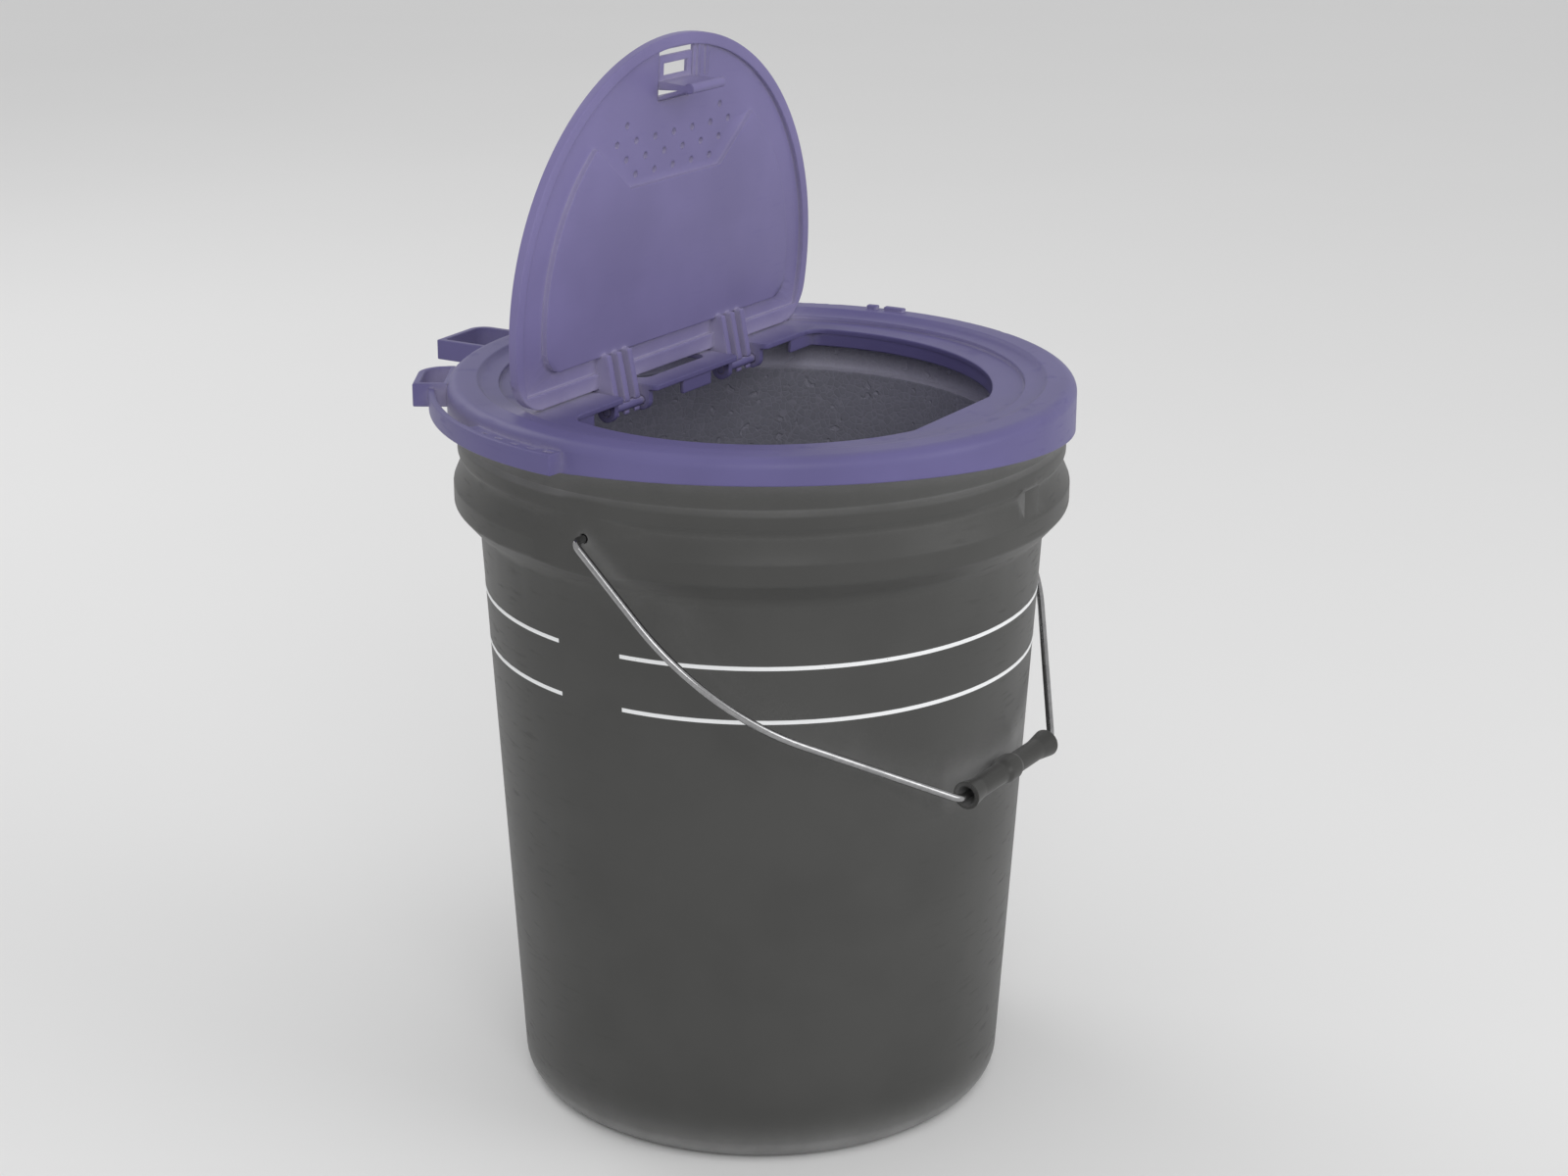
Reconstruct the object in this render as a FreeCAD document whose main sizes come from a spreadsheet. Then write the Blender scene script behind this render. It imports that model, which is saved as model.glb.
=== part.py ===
"""Insulated bait bucket: tapered pail, foam liner, press-fit lid ring, hinged flap with latch, bail and grip.

Millimetres and degrees. The origin is the middle of the pail's foot, +Z is up. The ears of the bail lie on
the X axis, the flap hinges along X behind the middle (+Y), and the bail hangs in front (-Y). The part stands
as it is photographed: the flap is open and the bail is down.
"""
import FreeCAD
import Part
import Sketcher
import math
import os
import re

doc = FreeCAD.newDocument("bait_bucket")
sheet = doc.addObject("Spreadsheet::Sheet", "Sizes")

SIZES = {
    # Pail: a tapered wall on a foot ring, with two collars under a plain neck
    "base_radius": 125.4,
    "pail_flare": 17,
    "shoulder_height": 300,
    "pail_wall": 2.6,
    "foot_height": 3,
    "foot_width": 16,
    "base_round": 12,
    "inner_bevel": 7,
    "low_collar_out": 12.6,
    "low_collar_rise": 14.5,
    "low_collar_tall": 10,
    "groove_depth": 5,
    "groove_rise": 11.5,
    "high_collar_out": 2.6,
    "high_collar_rise": 4.5,
    "high_collar_tall": 6.5,
    "collar_round": 3,
    "neck_out": 0.8,
    "neck_rise": 3,
    "neck_tall": 23,
    "rim_lip_out": 2.6,
    "rim_lip_height": 6,
    "web_width": 14,
    "web_out": 3.6,
    # Ears: flats on the bulge of the collar that carry the bail, each under an apron that fills the groove
    "ear_rise": 4.5,
    "ear_depth": 3,
    "apron_half": 13,
    "apron_inset": 0.2,
    # Foam liner: a thick tub with a rebated mouth
    "liner_gap": 1,
    "seat_gap": 0.3,
    "liner_drop": 13,
    "liner_floor": 26,
    "liner_wall": 20,
    "rebate_depth": 13,
    "rebate_width": 7,
    "foam_bevel": 9,
    # Lid ring: skirt, round shoulder, crown, deck and the flap's sunk seat
    "lid_wall": 2.8,
    "rim_room": 0.8,
    "rim_gap": 0.2,
    "skirt_depth": 27,
    "skirt_rise": 14,
    "skirt_rise_angle": -147.5,
    "cut_reach": 1.1,
    "shoulder_round": 6,
    "crown_width": 17.5,
    "crown_bevel": 2.5,
    "deck_drop": 2.5,
    "deck_width": 8.5,
    "seat_drop": 2.5,
    "seat_width": 16,
    "deck_thick": 2.6,
    "bead_gap": 0.8,
    "bead_drop": 11.6,
    "bead_size": 1.8,
    # Mouth: a round opening cut off straight at the catch and at the bridge, and a crescent behind the bridge
    "catch_inset": 6,
    "bridge_front": 38.5,
    "mouth_round": 12,
    "bridge_strip": 3.5,
    "crescent_edge": 9,
    "bay_half": 28,
    "bay_depth": 13,
    "bay_round": 6,
    "collar_step": 0.5,
    "collar_wall": 2.4,
    "collar_drop": 7,
    "collar_gap_half": 38,
    # Hinge: pins in lugs beside two slots that are open to the mouth
    "hinge_back": 9.5,
    "hinge_drop": 8.3,
    "hinge_spread": 50.5,
    "slot_half": 13,
    "slot_room": 13.5,
    "slot_round": 3,
    "lug_thick": 3.4,
    "lug_radius": 5.2,
    "pin_diameter": 4.4,
    "pin_gap": 0.3,
    # Rail, loops and nibs on the outside of the lid
    "rail_gap": 5.8,
    "rail_wall": 3.2,
    "rail_drop": 5,
    "rail_tall": 10,
    "rail_start": 127.5,
    "rail_end": 177,
    "shelf_start": 154,
    "shelf_thick": 3.5,
    "shelf_step": 0.7,
    "rail_cap": 2.6,
    "dimple_first": 158.6,
    "dimple_step": 4.2,
    "dimple_inset": 1.8,
    "dimple_length": 5,
    "dimple_breadth": 2.6,
    "dimple_depth": 1.6,
    "loop_wall": 3.5,
    "loop_foot": 0.9,
    "side_loop_angle": 122,
    "side_loop_half": 18,
    "side_loop_out": 16,
    "side_loop_drop": 2.8,
    "side_loop_tall": 11.6,
    "side_loop_round": 13,
    "rear_loop_angle": 93,
    "rear_loop_half": 19,
    "rear_loop_out": 29,
    "rear_loop_drop": 3,
    "rear_loop_tall": 10.5,
    "rear_loop_round": 9,
    "nib_inset": 6,
    "nib_width": 4,
    "nib_height": 2,
    "short_nib_start": 8,
    "short_nib_end": 10.3,
    "long_nib_start": 2,
    "long_nib_end": 6.4,
    # Flap: a round door with a lip, a raised panel, vent holes and a latch window, drawn shut
    "flap_room": 2,
    "heel_cover": 0.6,
    "flap_heel_round": 22,
    "flap_lip": 6,
    "heel_lip": 8.1,
    "flap_lip_depth": 2.4,
    "flap_thick": 2.4,
    "flap_gap": 0.3,
    "panel_edge": 23,
    "panel_heel_edge": 16.2,
    "panel_depth": 3,
    "panel_round": 12,
    "vent_field_depth": 48,
    "vent_field_half": 39,
    "horn_half": 72,
    "horn_depth": 21,
    "vent_diameter": 3.4,
    "vent_pitch": 16.1,
    "vent_row_pitch": 8.3,
    "vent_row_inset": 5.6,
    "window_half": 15,
    "window_edge": 7,
    "window_length": 25,
    "cheek_thick": 2.4,
    "cheek_offset": 2.4,
    "cheek_pitch": 7.2,
    "cheek_length": 16,
    "cheek_depth": 1,
    "fin_pitch": 8.7,
    "fin_thick": 4,
    "fin_overlap": 1.4,
    "fin_rise": 3.5,
    "fin_hub": 4.6,
    "fin_wrap": 1.2,
    "open_angle": 87,
    # Latch: a bar on three leaf arms, and a thumb strip with an opening in the window
    "latch_gap": 0.3,
    "latch_half": 14,
    "latch_bar_radius": 2.6,
    "latch_bar_gap": 0.8,
    "latch_reach": 17.6,
    "latch_leaf": 2.2,
    "latch_strip_gap": 3,
    "latch_strip_band": 4,
    # Bail: a bent wire with a hook in each ear, and its grip
    "wire_diameter": 3.8,
    "ear_fit": 0.5,
    "bail_room": 0.8,
    "bail_leg": 101,
    "bail_drop": 197.7,
    "bail_flat": 47,
    "bail_bend": 116,
    "bail_wrist": 14,
    "bail_elbow": 4,
    "bail_hook": 15.7,
    "grip_wall_gap": 1.1857,
    "grip_length": 82,
    "grip_end_radius": 7,
    "grip_waist_radius": 5.4,
    "grip_collar_radius": 6.8,
    "grip_collar_length": 8,
    "grip_flare_length": 12,
    "grip_mouth_radius": 4.6,
    "grip_mouth_depth": 10,
    "grip_bore_gap": 0.4,
}

# Radii and levels that follow from the sizes, each from the one it is built on
PLACES = {
    "shoulder_radius": "base_radius + pail_flare",
    "low_collar_radius": "shoulder_radius + low_collar_out",
    "groove_radius": "low_collar_radius - groove_depth",
    "high_collar_radius": "groove_radius + high_collar_out",
    "neck_radius": "groove_radius + neck_out",
    "rim_lip_radius": "neck_radius + rim_lip_out",
    "web_radius": "groove_radius + web_out",
    "pail_floor": "foot_height + pail_wall",
    "pail_neck": "groove_radius - pail_wall",
    "low_collar_bottom": "shoulder_height + low_collar_rise",
    "low_collar_top": "low_collar_bottom + low_collar_tall",
    "groove_height": "low_collar_top + groove_rise",
    "high_collar_bottom": "groove_height + high_collar_rise",
    "high_collar_top": "high_collar_bottom + high_collar_tall",
    "neck_bottom": "high_collar_top + neck_rise",
    "rim_height": "neck_bottom + neck_tall",
    "ear_height": "low_collar_top + ear_rise",
    "ear_face": "low_collar_radius - ear_depth",
    "liner_top": "rim_height - liner_drop",
    "lid_skin": "rim_lip_radius + rim_room",
    "lid_radius": "lid_skin + lid_wall",
    "lid_top": "rim_height + rim_gap + lid_wall",
    "skirt_bottom": "lid_top - skirt_depth",
    "bead_height": "lid_top - bead_drop",
    "crown_radius": "lid_radius - crown_width",
    "deck_level": "lid_top - deck_drop",
    "pocket_radius": "crown_radius - deck_width",
    "seat_level": "deck_level - seat_drop",
    "seat_under": "seat_level - deck_thick",
    "mouth_radius": "pocket_radius - seat_width",
    "catch_edge": "catch_inset - mouth_radius",
    "crescent_radius": "pocket_radius - crescent_edge",
    "hinge_depth": "bridge_front + hinge_back",
    "hinge_height": "seat_level - hinge_drop",
    "slot_back": "hinge_depth + slot_room",
    "bridge_back": "slot_back + bridge_strip",
    "rail_inner": "lid_radius + rail_gap",
    "rail_outer": "rail_inner + rail_wall",
    "rail_top": "lid_top - rail_drop",
    "rail_bottom": "rail_top - rail_tall",
    "dimple_radius": "rail_inner - dimple_inset",
    "nib_outer": "lid_radius - nib_inset",
    "nib_inner": "nib_outer - nib_width",
    "flap_radius": "pocket_radius - flap_room",
    "flap_heel": "bridge_front + heel_cover",
    "flap_low": "seat_level + flap_gap",
    "flap_under": "flap_low + flap_lip_depth",
    "flap_top": "flap_under + flap_thick",
    "panel_radius": "flap_radius - panel_edge",
    "panel_heel": "flap_heel - panel_heel_edge",
    "panel_face": "flap_under - panel_depth",
    "vent_field_edge": "vent_field_depth - panel_radius",
    "vent_row_edge": "vent_field_edge - vent_row_inset",
    "horn_edge": "horn_depth - panel_radius",
    "window_far": "window_edge - flap_radius",
    "window_near": "window_far + window_length",
    "cheek_near": "window_far + cheek_length",
    "fin_root": "panel_heel - fin_overlap",
    "latch_bar_height": "flap_under - latch_reach",
    "latch_strip_end": "window_far + latch_strip_gap",
    "bail_half": "lid_radius + wire_diameter / 2 + bail_room",
    "wall_slope": "pail_flare / shoulder_height",
    "wall_at_ears": "base_radius + wall_slope * ear_height",
    "grip_out": "wall_at_ears + grip_end_radius + grip_wall_gap",
    "bail_lean": "asin(grip_out / (bail_drop * sqrt(1 + wall_slope ^ 2))) - atan(wall_slope)",
}

# Vent holes in each row from the hinge outward, where the last two lie in pitches, and the rail's dimples
VENT_ROWS = (5, 6, 7)
VENT_END_PLACE = 2.5
DIMPLES = 5

# How near a drawn edge must lie to the size it is picked by
NEAR = 0.05

ROWS = {**SIZES, **{alias: f"={text}" for alias, text in PLACES.items()}}
for row, (alias, value) in enumerate(ROWS.items(), start=1):
    sheet.set(f"A{row}", alias)
    sheet.set(f"B{row}", str(value))
    sheet.setAlias(f"B{row}", alias)
doc.recompute()


def bound(text):
    """Spells an expression on the sheet's words so that other objects can use it."""
    return re.sub(r"[a-z_]+", lambda word: f"Sizes.{word[0]}" if word[0] in ROWS else word[0], text)


def size(text):
    """Gives the value of an expression on the sheet's words."""
    return float(sheet.evalExpression(bound(text)))


def new_body(label):
    """Starts a sub-part under its own label."""
    body = doc.addObject("PartDesign::Body", label)
    body.Label = label
    return body


def origin_item(body, role):
    """Finds one of a body's own origin planes or axes."""
    return next(item for item in body.Origin.OriginFeatures if item.Role == role)


def new_sketch(body, name, role, lift="0", turn=None):
    """Adds a sketch on a plane of the body, lifted off it and, if asked, turned about +Z."""
    sketch = body.newObject("Sketcher::SketchObject", name)
    sketch.AttachmentSupport = [(origin_item(body, role), "")]
    sketch.MapMode = "FlatFace"
    if turn is not None:
        upright = FreeCAD.Vector(0, 0, 1) if role == "XY_Plane" else FreeCAD.Vector(0, 1, 0)
        sketch.AttachmentOffset = FreeCAD.Placement(FreeCAD.Vector(), FreeCAD.Rotation(upright, 1))
        sketch.setExpression("AttachmentOffset.Rotation.Angle", bound(turn))
    sketch.setExpression("AttachmentOffset.Base.z", bound(lift))
    return sketch


def constrain(sketch, kind, *places):
    """Adds a plain constraint between points or edges of a sketch."""
    return sketch.addConstraint(Sketcher.Constraint(kind, *places))


def pin_point(sketch, edge, end, across=None, along=None):
    """Ties a point of a sketch to expressions, or to an axis where the expression is zero."""
    for kind, axis, text in (("DistanceX", -2, across), ("DistanceY", -1, along)):
        if text == "0":
            constrain(sketch, "PointOnObject", edge, end, axis)
        elif text is not None:
            index = constrain(sketch, kind, -1, 1, edge, end, size(text))
            sketch.setExpression(f"Constraints[{index}]", bound(text))


def set_radius(sketch, edge, text):
    """Ties the radius of an arc or circle to its expression."""
    index = constrain(sketch, "Radius", edge, size(text))
    sketch.setExpression(f"Constraints[{index}]", bound(text))


def spot(across, along):
    """Gives the place in a sketch of a pair of expressions."""
    return FreeCAD.Vector(size(across), size(along), 0)


def draw_polygon(sketch, points):
    """Draws a closed outline of straight edges through points given as pairs of expressions."""
    places = [spot(*point) for point in points]
    first = sketch.GeometryCount
    for here, there in zip(places, places[1:] + places[:1]):
        sketch.addGeometry(Part.LineSegment(here, there), False)
    for step, point in enumerate(points):
        following = first + (step + 1) % len(points)
        constrain(sketch, "Coincident", first + step, 2, following, 1)
        pin_point(sketch, first + step, 1, *point)


def draw_box(sketch, left, right, low, high):
    """Draws a rectangle between four expressions."""
    draw_polygon(sketch, [(left, low), (right, low), (right, high), (left, high)])


def draw_circle(sketch, across, along, radius):
    """Draws a circle about a point given as expressions."""
    ring = Part.Circle(spot(across, along), FreeCAD.Vector(0, 0, 1), size(radius))
    edge = sketch.addGeometry(ring, False)
    pin_point(sketch, edge, 3, across, along)
    set_radius(sketch, edge, radius)


def draw_arc(sketch, centre, radius, start, end):
    """Draws an arc about a centre given as expressions, between two angles in degrees."""
    ring = Part.Circle(spot(*centre), FreeCAD.Vector(0, 0, 1), size(radius))
    edge = sketch.addGeometry(Part.ArcOfCircle(ring, math.radians(start), math.radians(end)), False)
    pin_point(sketch, edge, 3, *centre)
    set_radius(sketch, edge, radius)
    return edge


def join_arcs(sketch, edges):
    """Closes a ring of arcs with straight edges from each arc's end to the next one's start."""
    for here, there in zip(edges, edges[1:] + edges[:1]):
        side = Part.LineSegment(sketch.getPoint(here, 2), sketch.getPoint(there, 1))
        chord = sketch.addGeometry(side, False)
        constrain(sketch, "Coincident", here, 2, chord, 1)
        constrain(sketch, "Coincident", chord, 2, there, 1)


def close_arc(sketch, arc, corners):
    """Closes an outline with straight edges from an arc's end through corner points to its start."""
    places = [sketch.getPoint(arc, 2), *(spot(*corner) for corner in corners), sketch.getPoint(arc, 1)]
    sides = [sketch.addGeometry(Part.LineSegment(here, there), False)
             for here, there in zip(places, places[1:])]
    constrain(sketch, "Coincident", arc, 2, sides[0], 1)
    for here, there, corner in zip(sides, sides[1:], corners):
        constrain(sketch, "Coincident", here, 2, there, 1)
        pin_point(sketch, there, 1, *corner)
    constrain(sketch, "Coincident", sides[-1], 2, arc, 1)


def draw_tab(sketch, across, level, top, radius):
    """Draws a tab that hangs from a level, with a round lower end about a centre."""
    arc = draw_arc(sketch, (across, level), radius, 180, 360)
    pin_point(sketch, arc, 1, None, level)
    pin_point(sketch, arc, 2, None, level)
    close_arc(sketch, arc, [(f"{across} + {radius}", top), (f"{across} - {radius}", top)])


def draw_loop(sketch, foot, reach, half, radius):
    """Draws a box about the sketch's own X axis, with its outer corner on the lower side round."""
    centre = (f"{reach} - {radius}", f"{radius} - {half}")
    arc = draw_arc(sketch, centre, radius, 270, 360)
    pin_point(sketch, arc, 1, centre[0], None)
    pin_point(sketch, arc, 2, None, centre[1])
    close_arc(sketch, arc, [(reach, half), (foot, half), (foot, f"-{half}")])


def draw_cut_disc(sketch, radius, low=None, high=None):
    """Draws a disc about the origin that is cut off straight below a level, above one, or both."""
    reach = size(radius)
    low_angle = math.degrees(math.asin(size(low) / reach)) if low else -90
    high_angle = math.degrees(math.asin(size(high) / reach)) if high else 90
    centre = ("0", "0")
    if low and high:
        right = draw_arc(sketch, centre, radius, low_angle, high_angle)
        left = draw_arc(sketch, centre, radius, 180 - high_angle, 180 - low_angle)
        edges, ends = [right, left], [(low, high), (high, low)]
    elif high:
        edges, ends = [draw_arc(sketch, centre, radius, 180 - high_angle, 360 + high_angle)], [(high, high)]
    else:
        edges, ends = [draw_arc(sketch, centre, radius, low_angle, 180 - low_angle)], [(low, low)]
    for edge, (start, end) in zip(edges, ends):
        pin_point(sketch, edge, 1, None, start)
        pin_point(sketch, edge, 2, None, end)
    join_arcs(sketch, edges)


def draw_bent_path(sketch, points, radii):
    """Draws an open path of straight runs whose inner corners are arcs of the radii given."""
    places = [spot(*point) for point in points]
    runs = []
    bends = []
    start = places[0]
    for step in range(1, len(places) - 1):
        back = (places[step - 1] - places[step]).normalize()
        ahead = (places[step + 1] - places[step]).normalize()
        half_turn = back.getAngle(ahead) / 2
        reach = size(radii[step - 1]) / math.tan(half_turn)
        depth = size(radii[step - 1]) / math.sin(half_turn) - size(radii[step - 1])
        inward = (back + ahead).normalize()
        bend_start = places[step] + back * reach
        bend_end = places[step] + ahead * reach
        runs.append(sketch.addGeometry(Part.LineSegment(start, bend_start), False))
        bend = Part.Arc(bend_start, places[step] + inward * depth, bend_end)
        bends.append(sketch.addGeometry(bend, False))
        start = bend_end
    runs.append(sketch.addGeometry(Part.LineSegment(start, places[-1]), False))
    for step, bend in enumerate(bends):
        corner = sketch.addGeometry(Part.Point(places[step + 1]), True)
        pin_point(sketch, corner, 1, *points[step + 1])
        constrain(sketch, "PointOnObject", corner, 1, runs[step])
        constrain(sketch, "PointOnObject", corner, 1, runs[step + 1])
        for run, run_end in ((runs[step], 2), (runs[step + 1], 1)):
            touch = sketch.getPoint(run, run_end)
            bend_end = 1 if touch.distanceToPoint(sketch.getPoint(bend, 1)) < NEAR else 2
            constrain(sketch, "Tangent", run, run_end, bend, bend_end)
        set_radius(sketch, bend, radii[step])
    pin_point(sketch, runs[0], 1, *points[0])
    pin_point(sketch, runs[-1], 2, *points[-1])


def revolve(body, name, sketch, angle="360", axis="V_Axis", cut=False):
    """Turns a sketch about one of its own axes, to add material or to cut it."""
    feature = body.newObject("PartDesign::Groove" if cut else "PartDesign::Revolution", name)
    feature.Profile = sketch
    feature.ReferenceAxis = (sketch, [axis])
    feature.setExpression("Angle", bound(angle))
    return feature


def extrude(body, name, sketch, length, cut=False, reverse=False, both=False):
    """Pulls a sketch along its normal, or pushes it in to cut; both halves the length to each side."""
    feature = body.newObject("PartDesign::Pocket" if cut else "PartDesign::Pad", name)
    feature.Profile = sketch
    feature.setExpression("Length", bound(length))
    feature.Reversed = reverse
    feature.SideType = "Symmetric" if both else "One side"
    return feature


def mirror(body, name, features):
    """Repeats features on the other side of the body's YZ plane."""
    feature = body.newObject("PartDesign::Mirrored", name)
    feature.Originals = features
    feature.MirrorPlane = (origin_item(body, "YZ_Plane"), [""])
    body.Tip = feature
    return feature


def polar(body, name, features, count, angle):
    """Repeats features about the body's Z axis over a total angle."""
    feature = body.newObject("PartDesign::PolarPattern", name)
    feature.Originals = features
    feature.Axis = (origin_item(body, "Z_Axis"), [""])
    feature.Occurrences = count
    feature.setExpression("Angle", bound(angle))
    body.Tip = feature
    return feature


def round_edges(body, name, radius, picks):
    """Rounds the edges of the body's tip that any of the tests picks."""
    doc.recompute()
    base = body.Tip
    names = [f"Edge{count}" for count, edge in enumerate(base.Shape.Edges, start=1)
             if any(pick(edge) for pick in picks)]
    feature = body.newObject("PartDesign::Fillet", name)
    feature.Base = (base, names)
    feature.setExpression("Radius", bound(radius))
    return feature


def ring_at(radius, height):
    """Picks round edges about the Z axis by their radius and height."""
    def pick(edge):
        if not isinstance(edge.Curve, Part.Circle):
            return False
        off_level = abs(edge.BoundBox.ZMin - size(height)) + abs(edge.BoundBox.ZMax - size(height))
        return off_level < NEAR and abs(edge.Curve.Radius - size(radius)) < NEAR
    return pick


def post_at(across, along):
    """Picks upright straight edges by the distances of their foot from the two middle planes."""
    def pick(edge):
        box = edge.BoundBox
        if box.XLength + box.YLength > NEAR or box.ZLength < NEAR:
            return False
        return abs(abs(box.XMin) - size(across)) < NEAR and abs(box.YMin - size(along)) < NEAR
    return pick


def make_bucket():
    """Pail: outside turned, ears and webs added, then hollowed with an even wall."""
    body = new_body("bucket")
    outside = new_sketch(body, "pail_outside", "XZ_Plane")
    draw_polygon(outside, [
        ("0", "foot_height"),
        ("base_radius - foot_width", "foot_height"),
        ("base_radius - foot_width", "0"),
        ("base_radius", "0"),
        ("shoulder_radius", "shoulder_height"),
        ("low_collar_radius", "low_collar_bottom"),
        ("low_collar_radius", "low_collar_top"),
        ("groove_radius", "groove_height"),
        ("high_collar_radius", "high_collar_bottom"),
        ("high_collar_radius", "high_collar_top"),
        ("neck_radius", "neck_bottom"),
        ("neck_radius", "rim_height - rim_lip_height"),
        ("rim_lip_radius", "rim_height - rim_lip_height"),
        ("rim_lip_radius", "rim_height"),
        ("0", "rim_height"),
    ])
    revolve(body, "pail_form", outside)
    round_edges(body, "base_corner", "base_round", [ring_at("base_radius", "0")])
    round_edges(body, "collar_edges", "collar_round", [
        ring_at("low_collar_radius", "low_collar_bottom"),
        ring_at("low_collar_radius", "low_collar_top"),
    ])
    apron = new_sketch(body, "apron_outline", "XY_Plane", "low_collar_top - collar_round")
    apron_front = "(high_collar_radius - apron_inset)"
    chord = "(groove_radius * sin(apron_half))"
    sag = f"({apron_front} - groove_radius * cos(apron_half))"
    bulge = f"(({chord} * {chord} + {sag} * {sag}) / (2 * {sag}))"
    draw_circle(apron, f"{apron_front} - {bulge}", "0", bulge)
    apron_tall = "high_collar_bottom + apron_inset - low_collar_top + collar_round"
    apron_pad = extrude(body, "apron_pad", apron, apron_tall)
    mirror(body, "aprons", [apron_pad])
    web = new_sketch(body, "web_outline", "XZ_Plane", "base_radius")
    draw_box(web, "-web_width / 2", "web_width / 2", "low_collar_top - collar_round", "high_collar_bottom")
    web_pad = extrude(body, "web_pad", web, "web_radius - base_radius")
    polar(body, "web_pads", [web_pad], 2, "360")
    inside = new_sketch(body, "pail_inside", "XZ_Plane")
    draw_polygon(inside, [
        ("0", "pail_floor"),
        ("base_radius - pail_wall - inner_bevel", "pail_floor"),
        ("base_radius - pail_wall", "pail_floor + inner_bevel"),
        ("shoulder_radius - pail_wall", "shoulder_height"),
        ("pail_neck", "low_collar_bottom"),
        ("pail_neck", "groove_height"),
        ("neck_radius - pail_wall", "neck_bottom"),
        ("neck_radius - pail_wall", "rim_height + pail_wall"),
        ("0", "rim_height + pail_wall"),
    ])
    revolve(body, "pail_hollow", inside, cut=True)
    flat = new_sketch(body, "ear_flat_outline", "YZ_Plane", "ear_face")
    draw_box(flat, "-low_collar_radius / 2", "low_collar_radius / 2", "shoulder_height", "neck_bottom")
    flat_cut = extrude(body, "ear_flat", flat, "ear_depth + pail_wall", cut=True, reverse=True)
    hole = new_sketch(body, "bail_hole_outline", "YZ_Plane", "ear_face")
    draw_circle(hole, "0", "ear_height", "wire_diameter / 2 + ear_fit")
    hole_cut = extrude(body, "bail_hole", hole, "ear_face - pail_neck + pail_wall", cut=True)
    mirror(body, "ear_cuts", [flat_cut, hole_cut])
    return body


def make_liner():
    """Foam tub: an even gap inside the pail, a tapered well and a rebate round its mouth."""
    body = new_body("liner")
    profile = new_sketch(body, "liner_profile", "XZ_Plane")
    foot = "(pail_floor + seat_gap)"
    foot_radius = "(base_radius - pail_wall - liner_gap)"
    taper = "((shoulder_radius - base_radius) / shoulder_height)"
    top_radius = f"({foot_radius} + {taper} * (liner_top - inner_bevel))"
    well_floor = f"({foot} + liner_floor)"
    well_radius = f"({top_radius} - liner_wall)"
    draw_polygon(profile, [
        ("0", foot),
        (f"{foot_radius} - foam_bevel", foot),
        (foot_radius, f"{foot} + foam_bevel"),
        (top_radius, "liner_top"),
        (f"{well_radius} + rebate_width", "liner_top"),
        (f"{well_radius} + rebate_width", "liner_top - rebate_depth"),
        (well_radius, "liner_top - rebate_depth"),
        (f"{foot_radius} - liner_wall", f"{well_floor} + foam_bevel"),
        (f"{foot_radius} - liner_wall - foam_bevel", well_floor),
        ("0", well_floor),
    ])
    revolve(body, "liner_form", profile)
    return body


def add_loop(body, name):
    """Adds an open loop with one round corner that stands out from the skirt of the lid."""
    top = f"(lid_top - {name}_drop)"
    reach = f"(lid_radius + {name}_out)"
    outline = new_sketch(body, f"{name}_outline", "XY_Plane", f"{top} - {name}_tall", f"{name}_angle")
    draw_loop(outline, "(lid_radius - lid_wall / 2)", reach, f"{name}_half", f"{name}_round")
    draw_loop(outline, "(lid_radius + loop_foot)", f"({reach} - loop_wall)", f"({name}_half - loop_wall)",
              f"({name}_round - loop_wall)")
    extrude(body, name, outline, f"{name}_tall")


def add_band(body, name, start, end, inner, outer, bottom, top):
    """Adds a band that runs round the Z axis between two angles."""
    outline = new_sketch(body, f"{name}_section", "XZ_Plane", turn=start)
    draw_box(outline, inner, outer, bottom, top)
    revolve(body, name, outline, f"{end} - ({start})")


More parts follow.
